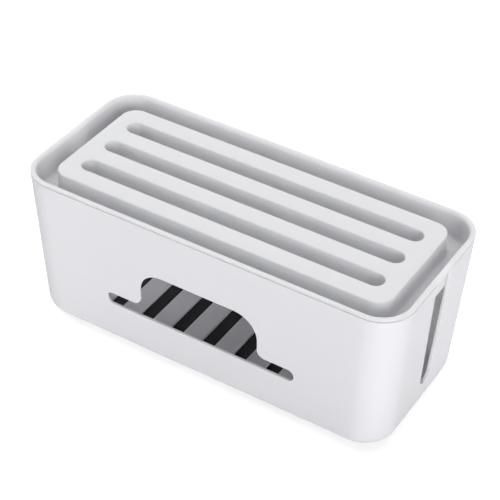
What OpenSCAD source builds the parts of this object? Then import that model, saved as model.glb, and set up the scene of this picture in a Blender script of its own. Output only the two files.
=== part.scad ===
// Cable management box: an open tub with cable openings, a lift-off tray lid
// with three long grooves, and four anti-slip feet.
// Origin: centre of the footprint, on the plane that the feet stand on.
// +X runs along the length, +Y towards the back and +Z up. Millimetres.

/* [Box] */
// Outer length at the top edge of the wall
box_l = 320; // [260:1:420]
// Outer width at the top edge of the wall
box_w = 142; // [120:1:200]
// Height of the tub from its underside to the top edge of the wall
box_h = 128.6; // [110:0.1:180]
// Thickness of the side walls
wall_t = 2.3; // [1.8:0.1:3]
// Thickness of the floor
floor_t = 2.2; // [2:0.1:4]
// Plan radius of the outer corners
corner_r = 27; // [20:0.5:34]
// Draft of the two end walls in degrees
draft_end = 3.1; // [1:0.1:4]
// Draft of the front and back walls in degrees
draft_side = 2.2; // [1:0.1:4]
// Radius of the outer edge between walls and underside
base_r = 12; // [6:0.5:16]

/* [Front opening] */
// Length of the low slot at the foot of the opening
brim_l = 164; // [120:1:180]
// Height of the low slot, which has round ends
brim_h = 10.5; // [8:0.5:16]
// Width of the raised middle part
crown_w = 102; // [70:1:110]
// Height of the whole opening
crown_h = 45.5; // [40:0.5:60]
// Radius of the upper corners of the raised part
crown_r = 20; // [8:0.5:24]
// Radius of the inner corner between slot and raised part
brim_fillet_r = 6.5; // [3:0.5:9]
// Height of the opening's lower edge above the tub's underside
opening_z = 39.5; // [30:0.5:44]

/* [Cable slots in the end walls] */
// Width of each slot at the top edge of the wall
slot_top_w = 23; // [18:0.5:34]
// Radius of the round lower end
slot_end_r = 7; // [5:0.5:8.5]
// Height of the slot's lowest point above the tub's underside
slot_z = 24.5; // [18:0.5:60]

/* [Floor vents] */
// Distance from one vent to the next
vent_pitch = 28.7; // [20:0.1:40]
// Width of one vent, which has round ends
vent_w = 11.6; // [6:0.2:14]
// Distance from a vent's end to the rounded edge of the underside
vent_end_gap = 8.5; // [4:0.5:30]
// Least distance from the outer vents to the feet
vent_foot_gap = 5; // [3:0.5:40]

/* [Lid rim and tray] */
// Height of the lid's rim above the top edge of the wall
rim_h = 1.4; // [1.2:0.1:3]
// Rounding of the rim's outer upper edge
rim_outer_r = 0.8; // [0.3:0.1:1]
// Rounding of the rim's inner upper edge
rim_inner_r = 2.2; // [0.8:0.1:2.6]
// Thickness of the lid moulding
lid_t = 2.1; // [1.5:0.1:2.5]
// Clearance between the lid's skirt and the tub's wall
lid_gap = 0.3; // [0.2:0.05:0.8]
// Depth of the tray floor below the top of the rim
tray_depth = 20; // [16:0.5:26]
// Rounding where the tray's walls meet its floor
tray_fillet_r = 2; // [1:0.5:3]

/* [Lid panel and grooves] */
// Width of the moat between the rim and the raised panel
moat_w = 14; // [8:0.5:15]
// Plan radius of the panel's corners
panel_corner_r = 13; // [8:0.5:18]
// Distance of the panel's top below the top of the rim
panel_drop = 1.6; // [0.5:0.1:4]
// Draft of the panel's walls in degrees
panel_draft = 2; // [0:0.5:4]
// Rounding of the upper edges of panel and grooves
panel_edge_r = 1; // [0.5:0.1:1.5]
// Rounding where the panel's walls meet the tray floor
panel_foot_r = 2.5; // [1:0.5:3]
// Number of grooves
groove_count = 3; // [1:1:3]
// Distance from a groove's end to the end of the panel
groove_end_gap = 13.3; // [6:0.1:60]
// Width of one groove, which has round ends
groove_w = 14.1; // [10:0.1:16]
// Distance from one groove to the next
groove_pitch = 29.6; // [22:0.1:34]

/* [Feet] */
// Diameter of one foot
foot_d = 14; // [10:0.5:16]
// Height of a foot below the tub's underside
foot_h = 1.5; // [1:0.1:3]
// Depth of the shallow recess that holds a foot
foot_seat = 0.8; // [0.5:0.1:1.2]
// Clearance round a foot in its recess
foot_gap = 0.2; // [0.1:0.05:0.4]
// Rounding of a foot's lower edge
foot_edge_r = 0.8; // [0.3:0.1:1]
// Distance from a foot's centre to the rounded edge of the underside
foot_inset = 17; // [12:0.5:26]

/* [Smoothness] */
// Steps in each plan corner
corner_steps = 10; // [6:1:16]
// Steps in each rounded edge
edge_steps = 5; // [3:1:8]

/* [Hidden] */

// How far a cutter runs past the surface it cuts
past = 1;
// How far two merged solids run into each other
bite = 0.4;
round_fn = 64;

tub_z = foot_h;
wall_top_z = tub_z + box_h;
rim_top_z = wall_top_z + rim_h;
tray_z = rim_top_z - tray_depth;
lid_bottom_z = tray_z - lid_t;
panel_z = rim_top_z - panel_drop;
floor_z = tub_z + floor_t;
skirt_inset = wall_t + lid_gap;
rim_w = skirt_inset + lid_t;
panel_l = box_l - 2 * (rim_w + moat_w);
panel_w = box_w - 2 * (rim_w + moat_w);
groove_l = panel_l - 2 * groove_end_gap;
// Radius of the outer edge between the skirt and the lid's underside
skirt_edge_r = tray_fillet_r + lid_t / 2;
// The panel's block starts inside the tray floor, so that the two merge
panel_root_z = tray_z - lid_t / 2;

// Inset of a drafted wall, measured at a depth below its top
function lean(depth, draft) = depth * tan(draft);

// Inset of a drafted wall that ends in a rounded lower edge of radius r.
// top and low are the heights of the wall's upper end and of its lower face.
function bowl_inset(z, top, low, r, draft) =
    z >= low + r * (1 - sin(draft))
        ? lean(top - z, draft)
        : lean(top - low - r, draft) + r / cos(draft) - sqrt(max(0, r * r - pow(low + r - z, 2)));

// What a rounded edge of radius r takes from the plan at height z
function edge_loss(z, low, r) =
    z >= low + r ? 0 : r - sqrt(max(0, r * r - pow(low + r - z, 2)));

// One closed outline: a rectangle with rounded corners, in the plane at height z
function outline(z, half_l, half_w, r) = [
    for (quarter = [0:3])
        let (sx = quarter == 0 || quarter == 3 ? 1 : -1, sy = quarter < 2 ? 1 : -1)
            for (i = [0:corner_steps])
                let (a = 90 * (quarter + i / corner_steps))
                    [sx * (half_l - r) + r * cos(a), sy * (half_w - r) + r * sin(a), z]
];

// Half sizes of the flat part of the underside, inside its rounded edge
base_flat_x = box_l / 2 - bowl_inset(0, box_h, 0, base_r, draft_end);
base_flat_y = box_w / 2 - bowl_inset(0, box_h, 0, base_r, draft_side);
foot_x = base_flat_x - foot_inset;
foot_y = base_flat_y - foot_inset;
vent_l = 2 * (base_flat_y - vent_end_gap);
// As many vents as fit between the feet
vent_room = 2 * (foot_x - foot_d / 2 - foot_gap - vent_foot_gap) - vent_w;
vent_count = floor(vent_room / vent_pitch) + 1;

// A solid skinned over outlines listed from the lowest to the highest,
// each given as [height, half length, half width, corner radius]
module skin(levels) {
    n = 4 * (corner_steps + 1);
    rings = len(levels);
    polyhedron(
        points = [for (lv = levels) each outline(lv[0], lv[1], lv[2], lv[3])],
        faces = [
            [for (i = [0:n - 1]) i],
            [for (i = [n - 1:-1:0]) (rings - 1) * n + i],
            for (k = [0:rings - 2])
                for (i = [0:n - 1])
                    let (j = (i + 1) % n)
                        each [
                            [k * n + i, (k + 1) * n + i, (k + 1) * n + j],
                            [k * n + i, (k + 1) * n + j, k * n + j]
                        ]
        ]
    );
}

// Levels of a bowl shape: drafted walls over a rounded lower edge.
// inset is its distance from the box's outline at height top.
function bowl_levels(inset, top, low, r) = [
    for (i = [0:edge_steps])
        let (z = low + r * (1 - cos(90 * i / edge_steps)))
            bowl_level(z, inset, top, low, r),
    bowl_level(top, inset, top, low, r)
];

function bowl_level(z, inset, top, low, r) = [
    z,
    box_l / 2 - inset - bowl_inset(z, top, low, r, draft_end),
    box_w / 2 - inset - bowl_inset(z, top, low, r, draft_side),
    corner_r - inset - edge_loss(z, low, r)
];

// ---- tub ----

module crown_outline() {
    half_w = crown_w / 2;
    translate([-half_w, 0])
        square([crown_w, crown_h - crown_r]);
    translate([-(half_w - crown_r), 0])
        square([crown_w - 2 * crown_r, crown_h]);
    for (side = [-1, 1])
        translate([side * (half_w - crown_r), crown_h - crown_r])
            circle(r = crown_r, $fn = round_fn);
}

module brim_outline() {
    end_x = (brim_l - brim_h) / 2;
    translate([-end_x, 0])
        square([2 * end_x, brim_h]);
    for (side = [-1, 1])
        translate([side * end_x, brim_h / 2])
            circle(d = brim_h, $fn = round_fn);
}

// Fills the inner corner where the raised part rises from the slot
module brim_fillet_outline() {
    difference() {
        square(brim_fillet_r + bite);
        translate([brim_fillet_r + bite, brim_fillet_r + bite])
            circle(r = brim_fillet_r, $fn = round_fn);
    }
}

// The cutter starts inside the box, so that it goes through one wall only
module front_opening() {
    translate([0, -box_w / 4, tub_z + opening_z])
        rotate([90, 0, 0])
            linear_extrude(box_w / 4 + past) {
                crown_outline();
                brim_outline();
                for (side = [0, 1])
                    mirror([side, 0])
                        translate([crown_w / 2 - bite, brim_h - bite])
                            brim_fillet_outline();
            }
}

// A slot that narrows downwards and ends in a half circle. Its cutter also
// starts inside the box.
module end_slot() {
    end_z = slot_z + slot_end_r;
    translate([box_l / 4, 0, tub_z])
        rotate([90, 0, 90])
            linear_extrude(box_l / 4 + past) {
                polygon([
                    [-slot_end_r, end_z],
                    [slot_end_r, end_z],
                    [slot_top_w / 2, box_h],
                    [slot_top_w / 2, box_h + past],
                    [-slot_top_w / 2, box_h + past],
                    [-slot_top_w / 2, box_h]
                ]);
                translate([0, end_z])
                    circle(r = slot_end_r, $fn = round_fn);
            }
}

// A straight slot with round ends, standing on the XY plane and centred
module long_slot(length, width, height, along_y = false) {
    straight = length - width;
    rotate([0, 0, along_y ? 90 : 0]) {
        translate([-straight / 2, -width / 2, 0])
            cube([straight, width, height]);
        for (side = [-1, 1])
            translate([side * straight / 2, 0, 0])
                cylinder(d = width, h = height, $fn = round_fn);
    }
}

module floor_vents() {
    for (i = [0:vent_count - 1])
        translate([(i - (vent_count - 1) / 2) * vent_pitch, 0, tub_z - past])
            long_slot(vent_l, vent_w, floor_t + 2 * past, along_y = true);
}

module foot_place(sx, sy) {
    translate([sx * foot_x, sy * foot_y, 0])
        children();
}

module foot_recesses() {
    for (sx = [-1, 1])
        for (sy = [-1, 1])
            foot_place(sx, sy)
                translate([0, 0, tub_z - past])
                    cylinder(d = foot_d + 2 * foot_gap, h = foot_seat + past, $fn = round_fn);
}

module tub() {
    cavity = bowl_levels(wall_t, wall_top_z, floor_z, base_r - wall_t);
    mouth = cavity[len(cavity) - 1];
    color([0.93, 0.93, 0.94])
        difference() {
            skin(bowl_levels(0, wall_top_z, tub_z, base_r));
            skin([each cavity, [mouth[0] + past, mouth[1], mouth[2], mouth[3]]]);
            front_opening();
            end_slot();
            mirror([1, 0, 0])
                end_slot();
            floor_vents();
            foot_recesses();
        }
}

// ---- lid ----

// Rim and skirt as one solid: the skirt hangs inside the tub's wall and the
// rim lies on the wall's top edge
module lid_blank() {
    skirt = bowl_levels(skirt_inset, wall_top_z, lid_bottom_z, skirt_edge_r);
    rim_low = [wall_top_z, box_l / 2, box_w / 2, corner_r];
    rim_edge = [
        for (i = [0:edge_steps])
            let (a = 90 * i / edge_steps, loss = rim_outer_r * (1 - cos(a)))
                [
                    rim_top_z - rim_outer_r * (1 - sin(a)),
                    box_l / 2 - loss,
                    box_w / 2 - loss,
                    corner_r - loss
                ]
    ];
    skin([each skirt, rim_low, each rim_edge]);
}

// The space inside the rim, down to the tray floor. Its walls follow the
// skirt, so their draft starts at the height of the tub's top edge. It flares
// at the top to round the rim's inner edge.
module tray_space() {
    turn_z = rim_top_z - rim_inner_r;
    wall = bowl_levels(rim_w, wall_top_z, tray_z, tray_fillet_r);
    below = [for (lv = wall) if (lv[0] < turn_z) lv];
    start = bowl_level(turn_z, rim_w, wall_top_z, tray_z, tray_fillet_r);
    flare = [
        for (i = [0:edge_steps])
            let (a = 90 * i / edge_steps, gain = rim_inner_r * (1 - cos(a)))
                [
                    turn_z + rim_inner_r * sin(a),
                    start[1] + gain,
                    start[2] + gain,
                    start[3] + gain
                ]
    ];
    end = flare[edge_steps];
    skin([each below, each flare, [end[0] + past, end[1], end[2], end[3]]]);
}

function panel_level(z, grow) =
    let (out = grow + lean(panel_z - z, panel_draft))
        [z, panel_l / 2 + out, panel_w / 2 + out, panel_corner_r + out];

module panel_block() {
    foot_levels = [
        panel_level(panel_root_z, panel_foot_r),
        for (i = [0:edge_steps])
            let (a = 90 * i / edge_steps)
                panel_level(tray_z + panel_foot_r * (1 - cos(a)), panel_foot_r * (1 - sin(a)))
    ];
    top_levels = [
        for (i = [0:edge_steps])
            let (a = 90 * i / edge_steps)
                panel_level(panel_z - panel_edge_r * (1 - sin(a)), -panel_edge_r * (1 - cos(a)))
    ];
    skin([each foot_levels, each top_levels]);
}

module panel_hollow() {
    skin([
        panel_level(lid_bottom_z - past, -lid_t),
        panel_level(panel_z - lid_t, -lid_t)
    ]);
}

module at_grooves() {
    for (i = [0:groove_count - 1])
        translate([0, (i - (groove_count - 1) / 2) * groove_pitch, 0])
            children();
}

// The wall and floor that a groove needs under the panel
module groove_trough() {
    translate([0, 0, lid_bottom_z])
        long_slot(groove_l + 2 * lid_t, groove_w + 2 * lid_t, panel_z - lid_t + bite - lid_bottom_z);
}

// Half section of the flare that rounds a groove's upper edge, from its
// middle line outwards, with the panel's top at height 0
module flare_section(half_w) {
    difference() {
        translate([0, -panel_edge_r])
            square([half_w + panel_edge_r, panel_edge_r + past]);
        translate([half_w + panel_edge_r, -panel_edge_r])
            circle(r = panel_edge_r, $fn = round_fn);
    }
}

module groove_space() {
    straight = groove_l - groove_w;
    translate([0, 0, tray_z])
        long_slot(groove_l, groove_w, panel_z + past - tray_z);
    translate([0, 0, panel_z]) {
        for (side = [-1, 1])
            translate([side * straight / 2, 0, 0])
                rotate_extrude($fn = round_fn)
                    flare_section(groove_w / 2);
        translate([-straight / 2, 0, 0])
            rotate([90, 0, 90])
                linear_extrude(straight)
                    for (side = [0, 1])
                        mirror([side, 0])
                            flare_section(groove_w / 2);
    }
}

module lid() {
    color([0.95, 0.95, 0.95])
        difference() {
            union() {
                difference() {
                    union() {
                        difference() {
                            lid_blank();
                            tray_space();
                        }
                        panel_block();
                    }
                    panel_hollow();
                }
                at_grooves()
                    groove_trough();
            }
            at_grooves()
                groove_space();
        }
}

// ---- feet ----

// A rubber disc, glued into its recess, with a rounded lower edge
module foot(sx, sy) {
    foot_r = foot_d / 2;
    color([0.2, 0.2, 0.21])
        foot_place(sx, sy)
            rotate_extrude($fn = round_fn) {
                square([foot_r - foot_edge_r, foot_h + foot_seat]);
                translate([0, foot_edge_r])
                    square([foot_r, foot_h + foot_seat - foot_edge_r]);
                translate([foot_r - foot_edge_r, foot_edge_r])
                    circle(r = foot_edge_r, $fn = round_fn);
            }
}

module foot_front_left() {
    foot(-1, -1);
}

module foot_front_right() {
    foot(1, -1);
}

module foot_back_left() {
    foot(-1, 1);
}

module foot_back_right() {
    foot(1, 1);
}

tub();
lid();
foot_front_left();
foot_front_right();
foot_back_left();
foot_back_right();
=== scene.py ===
import math

import bmesh
import bpy
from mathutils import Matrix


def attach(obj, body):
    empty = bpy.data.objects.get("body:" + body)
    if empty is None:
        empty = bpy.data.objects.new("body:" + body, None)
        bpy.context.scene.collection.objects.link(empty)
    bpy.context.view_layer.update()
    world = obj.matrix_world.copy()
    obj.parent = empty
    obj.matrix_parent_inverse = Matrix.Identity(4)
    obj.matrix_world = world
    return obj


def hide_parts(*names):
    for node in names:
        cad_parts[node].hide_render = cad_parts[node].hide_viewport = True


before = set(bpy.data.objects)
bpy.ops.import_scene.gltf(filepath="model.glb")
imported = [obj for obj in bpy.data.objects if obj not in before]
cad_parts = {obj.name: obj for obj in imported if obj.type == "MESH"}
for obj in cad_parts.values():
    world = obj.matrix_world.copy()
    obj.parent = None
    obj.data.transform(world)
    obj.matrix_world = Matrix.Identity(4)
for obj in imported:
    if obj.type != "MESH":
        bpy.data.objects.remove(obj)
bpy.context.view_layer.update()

MM = 0.001

# ---- sizes, the same as in the part's source ----
BOX_L, BOX_W, BOX_H = 320.0, 142.0, 128.6
WALL_T, FLOOR_T = 2.3, 2.2
CORNER_R, BASE_R = 27.0, 12.0
DRAFT_END, DRAFT_SIDE = 3.1, 2.2
BRIM_L, BRIM_H, BRIM_FILLET_R = 164.0, 10.5, 6.5
CROWN_W, CROWN_H, CROWN_R = 102.0, 45.5, 20.0
OPENING_Z = 39.5
SLOT_TOP_W, SLOT_END_R, SLOT_Z = 23.0, 7.0, 24.5
VENT_PITCH, VENT_W, VENT_END_GAP, VENT_COUNT = 28.7, 11.6, 8.5, 8
RIM_H, RIM_INNER_R = 1.4, 2.2
LID_T, LID_GAP, TRAY_DEPTH, TRAY_FILLET_R = 2.1, 0.3, 20.0, 2.0
MOAT_W, PANEL_CORNER_R, PANEL_DROP, PANEL_DRAFT = 14.0, 13.0, 1.6, 2.0
PANEL_EDGE_R, PANEL_FOOT_R = 1.0, 2.5
GROOVE_COUNT, GROOVE_END_GAP, GROOVE_W, GROOVE_PITCH = 3, 13.3, 14.1, 29.6
FOOT_D, FOOT_H, FOOT_SEAT, FOOT_GAP, FOOT_EDGE_R, FOOT_INSET = 14.0, 1.5, 0.8, 0.2, 0.8, 17.0

# ---- finish of edges, which the solids don't have ----
WALL_EDGE_R = 0.15     # the edges at the tub's mouth and under the shadow gap
RIM_LOW_EDGE_R = 0.15  # the rim's lower edge
RIM_OUTER_R = 0.55     # the rim's upper outer edge
SEAM_H, SEAM_DEPTH = 0.9, 1.6    # the shadow gap in the wall's top, which draws the seam
CUT_EDGE_R = 0.4       # edges of the opening, the end slots and the vents
SLOT_TOP_R = 1.5       # where an end slot meets the wall's top edge
GROOVE_FOOT_R = 1.2    # foot of the grooves' walls
HIDDEN_EDGE_R = 0.6    # edges on the lid's underside
FOOT_CHAMFER = 0.15    # a foot's upper edge, inside its seat

# ---- cutters ----
PAST = 2.0             # how far a cutter reaches past the face that it cuts
CUT_CLEAR = 0.015      # keeps a cutter's widest ring off that face
SLOT_LIFT = 0.02       # keeps the slot's rounded top off the wall's top face

# ---- fineness of the meshes ----
CORNER_STEPS = 24                                  # a quarter turn of an outline's corner
SMALL_STEPS, ROUND_STEPS, LARGE_STEPS = 4, 6, 8    # a quarter turn of an edge, by its size
BASE_STEPS, INNER_BASE_STEPS = 14, 12              # the tub's rounded base, outside and inside
BRIM_END_STEPS, BRIM_FILLET_STEPS, CROWN_STEPS = 20, 14, 24    # arcs of the front opening
SLOT_END_STEPS, SLOT_TOP_STEPS = 16, 8             # arcs of an end slot
STADIUM_STEPS = 24                                 # a round end of a groove or vent
SEAT_STEPS, FOOT_STEPS = 48, 64                    # a whole turn
MERGE_M, SLIVER_M = 2e-6, 1e-6    # metres: joins doubled points, and drops slivers of edges
SHARP_ANGLE, FOOT_SHARP_ANGLE = 32, 40             # degrees between faces that shade apart
NORMAL_WEIGHT = 80

TUB_Z = FOOT_H
WALL_TOP_Z = TUB_Z + BOX_H
RIM_TOP_Z = WALL_TOP_Z + RIM_H
TRAY_Z = RIM_TOP_Z - TRAY_DEPTH
LID_BOTTOM_Z = TRAY_Z - LID_T
PANEL_Z = RIM_TOP_Z - PANEL_DROP
CEILING_Z = PANEL_Z - LID_T
FLOOR_Z = TUB_Z + FLOOR_T
SKIRT_INSET = WALL_T + LID_GAP
RIM_W = SKIRT_INSET + LID_T
PANEL_L = BOX_L - 2 * (RIM_W + MOAT_W)
PANEL_W = BOX_W - 2 * (RIM_W + MOAT_W)
GROOVE_L = PANEL_L - 2 * GROOVE_END_GAP


def lean(depth, draft):
    return depth * math.tan(math.radians(draft))


def bowl_inset(z, top, low, r, draft):
    """Inset of a drafted wall over a rounded lower edge, at height z."""
    if z >= low + r * (1 - math.sin(math.radians(draft))):
        return lean(top - z, draft)
    arc = math.sqrt(max(0.0, r * r - (low + r - z) ** 2))
    return lean(top - low - r, draft) + r / math.cos(math.radians(draft)) - arc


def edge_loss(z, low, r):
    return 0.0 if z >= low + r else r - math.sqrt(max(0.0, r * r - (low + r - z) ** 2))


BASE_FLAT_X = BOX_L / 2 - bowl_inset(0, BOX_H, 0, BASE_R, DRAFT_END)
BASE_FLAT_Y = BOX_W / 2 - bowl_inset(0, BOX_H, 0, BASE_R, DRAFT_SIDE)
FOOT_X, FOOT_Y = BASE_FLAT_X - FOOT_INSET, BASE_FLAT_Y - FOOT_INSET
VENT_L = 2 * (BASE_FLAT_Y - VENT_END_GAP)


# ---- levels: (height, half length, half width, corner radius) ----

def bowl_level(z, inset, top, low, r):
    return (z,
            BOX_L / 2 - inset - bowl_inset(z, top, low, r, DRAFT_END),
            BOX_W / 2 - inset - bowl_inset(z, top, low, r, DRAFT_SIDE),
            CORNER_R - inset - edge_loss(z, low, r))


def grown(level, out, z=None):
    return (level[0] if z is None else z, level[1] + out, level[2] + out, level[3] + out)


def quarter(steps=ROUND_STEPS):
    """(sine, 1 - cosine) from 0 to 90 degrees."""
    return [(math.sin(math.pi / 2 * i / steps), 1 - math.cos(math.pi / 2 * i / steps))
            for i in range(steps + 1)]


def bowl_rise(inset, top, low, r, steps):
    """From the lower face's edge, round the lower edge and onto the wall."""
    return [bowl_level(low + r * c, inset, top, low, r) for s, c in quarter(steps)]


def tub_levels():
    """From the underside up the outside, over the shadow gap and mouth, and down the inside."""
    outer = bowl_rise(0, WALL_TOP_Z, TUB_Z, BASE_R, BASE_STEPS)
    shelf_z = WALL_TOP_Z - SEAM_H
    edge = [grown(bowl_level(shelf_z - WALL_EDGE_R * (1 - s), 0, WALL_TOP_Z, TUB_Z, BASE_R),
                  -WALL_EDGE_R * c) for s, c in quarter(SMALL_STEPS)]
    step = grown(bowl_level(shelf_z, 0, WALL_TOP_Z, TUB_Z, BASE_R), -SEAM_DEPTH)
    edge += [step, grown(step, 0, WALL_TOP_Z)]
    inner_r = BASE_R - WALL_T
    mouth = [grown(bowl_level(WALL_TOP_Z - WALL_EDGE_R * (1 - s), WALL_T, WALL_TOP_Z, FLOOR_Z,
                              inner_r), WALL_EDGE_R * c)
             for s, c in reversed(quarter(SMALL_STEPS))]
    inner = bowl_rise(WALL_T, WALL_TOP_Z, FLOOR_Z, inner_r, INNER_BASE_STEPS)
    return outer + edge + mouth + inner[::-1]


def panel_level(z, grow):
    out = grow + lean(PANEL_Z - z, PANEL_DRAFT)
    return (z, PANEL_L / 2 + out, PANEL_W / 2 + out, PANEL_CORNER_R + out)


def lid_levels():
    """From the hollow's ceiling down and out, round the rim, and in to the panel's top."""
    r = HIDDEN_EDGE_R
    ceiling = [panel_level(CEILING_Z - r * c, -LID_T - r * (1 - s)) for s, c in quarter()]
    mouth = [panel_level(LID_BOTTOM_Z + r * (1 - s), -LID_T + r * c) for s, c in quarter()]
    skirt_r = TRAY_FILLET_R + LID_T / 2
    skirt = bowl_rise(SKIRT_INSET, WALL_TOP_Z, LID_BOTTOM_Z, skirt_r, LARGE_STEPS)
    skirt.append(bowl_level(WALL_TOP_Z, SKIRT_INSET, WALL_TOP_Z, LID_BOTTOM_Z, skirt_r))
    rim = (0, BOX_L / 2, BOX_W / 2, CORNER_R)
    low_edge = [grown(rim, -RIM_LOW_EDGE_R * (1 - s), WALL_TOP_Z + RIM_LOW_EDGE_R * c)
                for s, c in quarter(SMALL_STEPS)]
    top_edge = [grown(rim, -RIM_OUTER_R * c, RIM_TOP_Z - RIM_OUTER_R * (1 - s))
                for s, c in quarter()]
    turn_z = RIM_TOP_Z - RIM_INNER_R
    turn = bowl_level(turn_z, RIM_W, WALL_TOP_Z, TRAY_Z, TRAY_FILLET_R)
    flare = [grown(turn, RIM_INNER_R * c, turn_z + RIM_INNER_R * s)
             for s, c in quarter(LARGE_STEPS)]
    tray = bowl_rise(RIM_W, WALL_TOP_Z, TRAY_Z, TRAY_FILLET_R, ROUND_STEPS)
    foot = [panel_level(TRAY_Z + PANEL_FOOT_R * c, PANEL_FOOT_R * (1 - s)) for s, c in quarter()]
    top = [panel_level(PANEL_Z - PANEL_EDGE_R * (1 - s), -PANEL_EDGE_R * c) for s, c in quarter()]
    return ceiling + mouth + skirt + low_edge + top_edge + flare[::-1] + tray[::-1] + foot + top


# ---- meshes ----

def outline(half_l, half_w, r):
    """Points (x, y) of a rectangle with rounded corners."""
    points = []
    for q in range(4):
        sx, sy = (1 if q in (0, 3) else -1), (1 if q < 2 else -1)
        for i in range(CORNER_STEPS + 1):
            a = math.pi / 2 * (q + i / CORNER_STEPS)
            points.append((sx * (half_l - r) + r * math.cos(a),
                           sy * (half_w - r) + r * math.sin(a)))
    return points


def rings_mesh(name, rings):
    """A closed mesh from rings of equally many points in millimetres, capped at both ends."""
    n = len(rings[0])
    made = bmesh.new()
    verts = [[made.verts.new([c * MM for c in p]) for p in ring] for ring in rings]
    for low, high in zip(verts, verts[1:]):
        for i in range(n):
            j = (i + 1) % n
            made.faces.new((low[i], low[j], high[j], high[i]))
    made.faces.new(verts[0][::-1])
    made.faces.new(verts[-1])
    bmesh.ops.recalc_face_normals(made, faces=made.faces)
    mesh = bpy.data.meshes.new(name)
    made.to_mesh(mesh)
    made.free()
    return mesh


def skin(name, levels):
    return rings_mesh(name, [[(x, y, z) for x, y in outline(l, w, r)] for z, l, w, r in levels])


def arc(cx, cy, r, start, end, steps, hollow=False):
    """Points (x, y, outward x, outward y) on an arc; hollow where the outline bends inwards."""
    sign = -1 if hollow else 1
    points = []
    for i in range(steps + 1):
        a = math.radians(start + (end - start) * i / steps)
        points.append((cx + r * math.cos(a), cy + r * math.sin(a),
                       sign * math.cos(a), sign * math.sin(a)))
    return points


def stadium(length, width):
    end, r = (length - width) / 2, width / 2
    return arc(end, 0, r, -90, 90, STADIUM_STEPS) + arc(-end, 0, r, 90, 270, STADIUM_STEPS)


def mirrored(points):
    return [(-x, y, -nx, ny) for x, y, nx, ny in reversed(points)]


def opening_curve():
    """The front opening: a low slot with round ends and a raised middle, from its lower edge."""
    brim_end = arc((BRIM_L - BRIM_H) / 2, BRIM_H / 2, BRIM_H / 2, -90, 90, BRIM_END_STEPS)
    fillet = arc(CROWN_W / 2 + BRIM_FILLET_R, BRIM_H + BRIM_FILLET_R, BRIM_FILLET_R, 270, 180,
                 BRIM_FILLET_STEPS, hollow=True)
    crown = arc(CROWN_W / 2 - CROWN_R, CROWN_H - CROWN_R, CROWN_R, 0, 90, CROWN_STEPS)
    right = brim_end + fillet + crown
    return right + mirrored(right)


def slot_curve():
    """An end slot, open at the wall's top edge, where its corners are rounded outwards."""
    end_z = SLOT_Z + SLOT_END_R
    taper = math.degrees(math.atan2(SLOT_TOP_W / 2 - SLOT_END_R, BOX_H - end_z))
    side = SLOT_TOP_W / 2 - math.tan(math.radians(taper)) * SLOT_TOP_R
    bottom = arc(0, end_z, SLOT_END_R, 270, 360 - taper, SLOT_END_STEPS)
    top = arc(side + SLOT_TOP_R, BOX_H - SLOT_TOP_R + SLOT_LIFT, SLOT_TOP_R, 180 - taper, 90,
              SLOT_TOP_STEPS, hollow=True)
    cap = [(side + SLOT_TOP_R, BOX_H + PAST, 1.0, 0.0)]
    right = bottom + top + cap
    return right + mirrored(right)[:-1]


def through(thickness):
    """(depth, growth) of a cutter through a wall: it widens at both faces, which rounds them."""
    face = [(CUT_EDGE_R * (1 - s) - CUT_CLEAR, CUT_EDGE_R * c)
            for s, c in reversed(quarter(SMALL_STEPS))]
    face.insert(0, (-PAST, face[0][1]))
    return face + [(thickness - d, g) for d, g in reversed(face)]


def loft(name, curve, rings, place):
    """A cutter: the curve, grown at each depth, with place(x, y, depth) giving each point."""
    return rings_mesh(name, [[place(x + nx * g, y + ny * g, d) for x, y, nx, ny in curve]
                             for d, g in rings])


def joined(name, meshes):
    made = bmesh.new()
    for m in meshes:
        made.from_mesh(m)
        bpy.data.meshes.remove(m)
    mesh = bpy.data.meshes.new(name)
    made.to_mesh(mesh)
    made.free()
    return mesh


def new_object(name, mesh):
    made = bpy.data.objects.new(name, mesh)
    bpy.context.scene.collection.objects.link(made)
    return made


def baked(obj):
    """Replaces the object's mesh by what its modifiers make of it."""
    bpy.context.view_layer.update()
    old = obj.data
    shown = obj.evaluated_get(bpy.context.evaluated_depsgraph_get())
    mesh = bpy.data.meshes.new_from_object(shown)
    mesh.name = obj.name
    obj.modifiers.clear()
    obj.data = mesh
    bpy.data.meshes.remove(old)


def combine(obj, mesh, operation):
    tool = new_object("tool", mesh)
    step = obj.modifiers.new(operation, "BOOLEAN")
    step.operation, step.solver, step.object = operation, "EXACT", tool
    baked(obj)
    bpy.data.objects.remove(tool)
    bpy.data.meshes.remove(mesh)


def smooth(obj, angle=SHARP_ANGLE):
    """Joins what boolean steps left doubled, then shades round faces smooth and flat ones flat."""
    made = bmesh.new()
    made.from_mesh(obj.data)
    bmesh.ops.remove_doubles(made, verts=made.verts, dist=MERGE_M)
    bmesh.ops.dissolve_degenerate(made, edges=made.edges, dist=SLIVER_M)
    made.to_mesh(obj.data)
    made.free()
    obj.data.shade_smooth()
    obj.data.set_sharp_from_angle(angle=math.radians(angle))
    step = obj.modifiers.new("even_normals", "WEIGHTED_NORMAL")
    step.keep_sharp, step.weight = True, NORMAL_WEIGHT
    baked(obj)


# ---- tub ----

def front_y(z):
    return -(BOX_W / 2 - lean(WALL_TOP_Z - z, DRAFT_SIDE))


def end_x(z):
    return BOX_L / 2 - lean(WALL_TOP_Z - z, DRAFT_END)


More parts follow.
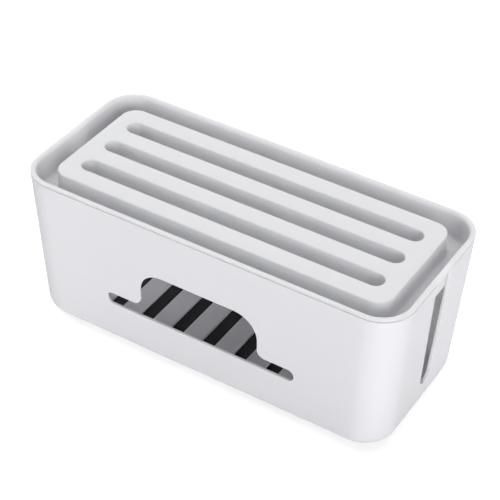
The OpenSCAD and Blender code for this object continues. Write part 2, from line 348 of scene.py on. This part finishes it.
def make_tub():
    tub = new_object("tub_shell", skin("tub_shell", tub_levels()))
    wall, floor = through(WALL_T), through(FLOOR_T)
    base_z = TUB_Z + OPENING_Z
    cutters = [loft("opening", opening_curve(), wall,
                    lambda x, y, d: (x, front_y(base_z + y) + d, base_z + y))]
    for side in (1, -1):
        cutters.append(loft("slot", slot_curve(), wall,
                            lambda x, y, d: (side * (end_x(TUB_Z + y) - d), x, TUB_Z + y)))
    for i in range(VENT_COUNT):
        mid = (i - (VENT_COUNT - 1) / 2) * VENT_PITCH
        cutters.append(loft("vent", stadium(VENT_L, VENT_W), floor,
                            lambda x, y, d: (mid + y, x, TUB_Z + d)))
    seat_r, last_seat_angle = FOOT_D / 2 + FOOT_GAP, 360 - 360 / SEAT_STEPS
    for sx in (1, -1):
        for sy in (1, -1):
            cutters.append(loft("seat", arc(0, 0, seat_r, 0, last_seat_angle, SEAT_STEPS - 1),
                                [(-PAST, 0), (FOOT_SEAT, 0)],
                                lambda x, y, d: (sx * FOOT_X + x, sy * FOOT_Y + y, TUB_Z + d)))
    combine(tub, joined("cutters", cutters), "DIFFERENCE")
    smooth(tub)
    return tub


# ---- lid ----

def groove_y(i):
    return (i - (GROOVE_COUNT - 1) / 2) * GROOVE_PITCH


def make_lid():
    """The skin, with a trough's walls added under each groove, and then the grooves cut out."""
    lid = new_object("lid_tray", skin("lid_tray", lid_levels()))
    r = HIDDEN_EDGE_R
    trough = [(LID_BOTTOM_Z + r * c, -r * (1 - s)) for s, c in quarter(SMALL_STEPS)]
    trough.append((CEILING_Z + LID_T / 4, 0))    # ends inside the panel's thickness
    combine(lid, joined("troughs", [
        loft("trough", stadium(GROOVE_L + 2 * LID_T, GROOVE_W + 2 * LID_T), trough,
             lambda x, y, d: (x, groove_y(i) + y, d)) for i in range(GROOVE_COUNT)]), "UNION")
    r, e = GROOVE_FOOT_R, PANEL_EDGE_R
    space = [(TRAY_Z + r * c, -r * (1 - s)) for s, c in quarter()]
    space += [(PANEL_Z - e * (1 - s) + CUT_CLEAR, e * c) for s, c in quarter(LARGE_STEPS)]
    space.append((PANEL_Z + PAST, e))
    combine(lid, joined("grooves", [
        loft("groove", stadium(GROOVE_L, GROOVE_W), space,
             lambda x, y, d: (x, groove_y(i) + y, d)) for i in range(GROOVE_COUNT)]), "DIFFERENCE")
    smooth(lid)
    return lid


# ---- feet ----

def make_foot(name, sx, sy):
    """A turned rubber disc with a rounded lower edge."""
    top, r, e = FOOT_H + FOOT_SEAT, FOOT_D / 2, FOOT_EDGE_R
    profile = [(e * c, r - e * (1 - s)) for s, c in quarter(LARGE_STEPS)]
    profile += [(top - FOOT_CHAMFER, r), (top, r - FOOT_CHAMFER)]
    turns = [2 * math.pi * i / FOOT_STEPS for i in range(FOOT_STEPS)]
    rings = [[(sx * FOOT_X + p * math.cos(a), sy * FOOT_Y + p * math.sin(a), z) for a in turns]
             for z, p in profile]
    foot = new_object(name, rings_mesh(name, rings))
    smooth(foot, FOOT_SHARP_ANGLE)
    return foot


# ---- materials ----

DRIFT_SCALE, CLOUD_SCALE = 22.0, 140.0    # noise scales: the colour's drift, the gloss's patches
PLASTIC_IOR, DULL_SPECULAR = 1.49, 0.3
FLOOR_WHITE, FLOOR_LIFT, WORLD_LIGHT = 0.85, 0.45, 0.03
# painted shade: the dark colour of the sheet under the box, standing in for the shade there
PAINTED_SHADE_UNDER_BOX = (0.05, 0.049, 0.055, 1)


def material(name):
    made = bpy.data.materials.new(name)
    made.use_nodes = True
    made.node_tree.nodes.clear()
    return made, made.node_tree


def node(tree, kind, inputs=(), **values):
    """A new node; an input is a value, or the socket that is linked to it."""
    made = tree.nodes.new(kind)
    for key, value in values.items():
        setattr(made, key, value)
    for key, value in dict(inputs).items():
        if isinstance(value, bpy.types.NodeSocket):
            tree.links.new(value, made.inputs[key])
        else:
            made.inputs[key].default_value = value
    return made


def grained(name, light, dark, rough, grain, depth, bump, sheer=0.0, glow_colour=None):
    """A moulded surface: an even colour that drifts from light to dark, and a fine grain in its
    relief and in its roughness, which stays between the two of rough.

    grain is the grain's noise scale, depth its height in metres and bump its strength. sheer is
    the share of light that each face lets into the wall, as pale plastic does, in glow_colour."""
    made, tree = material(name)
    place = node(tree, "ShaderNodeTexCoord").outputs["Object"]
    drift = node(tree, "ShaderNodeTexNoise", {"Vector": place, "Scale": DRIFT_SCALE,
                                              "Detail": 3.0})
    fine = node(tree, "ShaderNodeTexNoise", {"Vector": place, "Scale": grain, "Detail": 3.0,
                                             "Roughness": 0.6})
    cloudy = node(tree, "ShaderNodeTexNoise", {"Vector": place, "Scale": CLOUD_SCALE,
                                               "Detail": 2.0})
    colour = node(tree, "ShaderNodeMix", {"Factor": drift.outputs["Fac"], "A": light, "B": dark},
                  data_type="RGBA")
    blend = node(tree, "ShaderNodeMath", {0: fine.outputs["Fac"], 1: cloudy.outputs["Fac"]},
                 operation="ADD")
    gloss = node(tree, "ShaderNodeMapRange", {"Value": blend.outputs[0], "From Min": 0.6,
                                              "From Max": 1.4, "To Min": rough[0],
                                              "To Max": rough[1]})
    relief = node(tree, "ShaderNodeBump", {"Height": fine.outputs["Fac"], "Strength": bump,
                                           "Distance": depth})
    shader = node(tree, "ShaderNodeBsdfPrincipled",
                  {"Base Color": colour.outputs["Result"], "Roughness": gloss.outputs["Result"],
                   "Normal": relief.outputs["Normal"], "IOR": PLASTIC_IOR,
                   "Specular IOR Level": DULL_SPECULAR})
    surface = shader.outputs["BSDF"]
    if sheer:
        glow = node(tree, "ShaderNodeBsdfTranslucent", {"Color": glow_colour})
        surface = node(tree, "ShaderNodeMixShader",
                       {0: sheer, 1: surface, 2: glow.outputs["BSDF"]}).outputs["Shader"]
    node(tree, "ShaderNodeOutputMaterial", {"Surface": surface})
    return made


def by_ray(tree, lighting, seen):
    """One strength for rays that light things, another for what the camera, gloss and glass see.

    Light that a pale wall scatters through itself counts as lighting, so its rays are left out."""
    ray = node(tree, "ShaderNodeLightPath")
    either = node(tree, "ShaderNodeMath", {0: ray.outputs["Is Camera Ray"],
                                           1: ray.outputs["Is Glossy Ray"]}, operation="MAXIMUM")
    either = node(tree, "ShaderNodeMath", {0: either.outputs[0],
                                           1: ray.outputs["Is Transmission Ray"]},
                  operation="MAXIMUM")
    clear = node(tree, "ShaderNodeMath", {0: either.outputs[0], 1: ray.outputs["Is Diffuse Ray"]},
                 operation="SUBTRACT", use_clamp=True)
    return node(tree, "ShaderNodeMapRange", {"Value": clear.outputs[0], "To Min": lighting,
                                             "To Max": seen}).outputs["Result"]


def floor_material():
    """A white floor that keeps the object's shadow. What the camera sees of it, and what gloss
    shows, is lifted to white; that extra lights nothing."""
    made, tree = material("stage_floor")
    shader = node(tree, "ShaderNodeBsdfDiffuse", {"Color": (FLOOR_WHITE,) * 3 + (1,)})
    white = node(tree, "ShaderNodeEmission", {"Strength": by_ray(tree, 0.0, FLOOR_LIFT)})
    both = node(tree, "ShaderNodeAddShader", {0: shader.outputs["BSDF"],
                                              1: white.outputs["Emission"]})
    node(tree, "ShaderNodeOutputMaterial", {"Surface": both.outputs["Shader"]})
    return made


# Painted shade: a dark matte sheet for the ground under the box, where only shade falls.
def painted_shade_ground_material():
    made, tree = material("stage_painted_shade")
    shader = node(tree, "ShaderNodeBsdfDiffuse", {"Color": PAINTED_SHADE_UNDER_BOX})
    node(tree, "ShaderNodeOutputMaterial", {"Surface": shader.outputs["BSDF"]})
    return made


# ---- the pieces ----

def dress(obj, body, look, replaced):
    obj.data.materials.clear()
    obj.data.materials.append(look)
    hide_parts(replaced)
    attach(obj, body)


tub_look = grained("tub_white", (0.845, 0.851, 0.882, 1), (0.831, 0.838, 0.87, 1), (0.44, 0.6),
                   1900.0, 0.00003, 0.3, 0.32, (0.86, 0.835, 0.825, 1))
lid_look = grained("lid_white", (0.826, 0.829, 0.848, 1), (0.812, 0.816, 0.836, 1), (0.46, 0.62),
                   1900.0, 0.00003, 0.3, 0.36, (0.85, 0.848, 0.846, 1))
foot_look = grained("foot_grey", (0.05, 0.05, 0.052, 1), (0.04, 0.04, 0.042, 1), (0.7, 0.88),
                    1200.0, 0.00006, 0.5)

dress(make_tub(), "box", tub_look, "tub")
dress(make_lid(), "lid", lid_look, "lid")
for place, sx, sy in (("front_left", -1, -1), ("front_right", 1, -1),
                      ("back_left", -1, 1), ("back_right", 1, 1)):
    dress(make_foot("pad_" + place, sx, sy), "box", foot_look, "foot_" + place)

# ---- floor, light and camera ----

# The ground under the box is painted shade: a dark sheet where only shade falls, so that the vents
# and the lower edge show no light from below. The floor's middle face has this dark material and
# stays under the walls.
PAINTED_SHADE_PAST, FLOOR_HALF = 3, 30000    # mm: past the box's flat underside, and half the floor
near = outline(BASE_FLAT_X + PAINTED_SHADE_PAST, BASE_FLAT_Y + PAINTED_SHADE_PAST,
               CORNER_R - BASE_R + PAINTED_SHADE_PAST)
far = outline(FLOOR_HALF, FLOOR_HALF, CORNER_R)
count = len(near)
floor_mesh = bpy.data.meshes.new("floor")
floor_mesh.from_pydata([(x * MM, y * MM, 0) for x, y in near + far], [],
                       [[i, i + count, (i + 1) % count + count, (i + 1) % count]
                        for i in range(count)] + [list(range(count))])
floor = new_object("floor", floor_mesh)
floor.data.materials.append(floor_material())
# the second material is the painted shade under the box
floor.data.materials.append(painted_shade_ground_material())
floor.data.polygons[count].material_index = 1

world = bpy.data.worlds.new("studio")
world.use_nodes = True
tree = world.node_tree
tree.nodes.clear()
white = node(tree, "ShaderNodeBackground", {"Color": (1, 1, 1, 1),
                                            "Strength": by_ray(tree, WORLD_LIGHT, 1.0)})
node(tree, "ShaderNodeOutputWorld", {"Surface": white.outputs["Background"]})
bpy.context.scene.world = world

# Each lamp: name, the direction it stands in as azimuth (0 is the front, 90 the right end) and
# elevation, its apparent size in degrees, its strength, and whether it leaves a highlight. A low
# lamp's would clip the lid's top to white, seen from the side opposite that lamp.
LAMPS = [
    ("key", -138, 50, 90, 3.75, True),
    ("front", 0, 4, 20, 0.45, False),
    ("front_right", 48, 16, 40, 2.72, False),
]
for name, azimuth, elevation, size, strength, highlight in LAMPS:
    lamp = bpy.data.lights.new(name, "SUN")
    lamp.energy, lamp.angle = strength, math.radians(size)
    stand = new_object(name, lamp)
    stand.rotation_euler = (math.radians(90 - elevation), 0, math.radians(azimuth))
    stand.visible_glossy = highlight

# The camera was fitted to the photo's outline and edge lines together.
lens = bpy.data.cameras.new("camera")
lens.sensor_width, lens.lens = 36.0, 113.056
lens.clip_start, lens.clip_end = 0.05, 100.0
camera = new_object("camera", lens)
camera.location = (0.47039, -0.79179, 0.82060)
camera.rotation_euler = [math.radians(a) for a in (51.25444, -1.47699, 31.76514)]
bpy.context.scene.camera = camera

bpy.context.scene.view_settings.view_transform = "Standard"
# Light passes through both faces of a wall and goes round inside the box, which takes more
# bounces than Blender's usual four.
DIFFUSE_BOUNCES = 12
bpy.context.scene.cycles.diffuse_bounces = DIFFUSE_BOUNCES
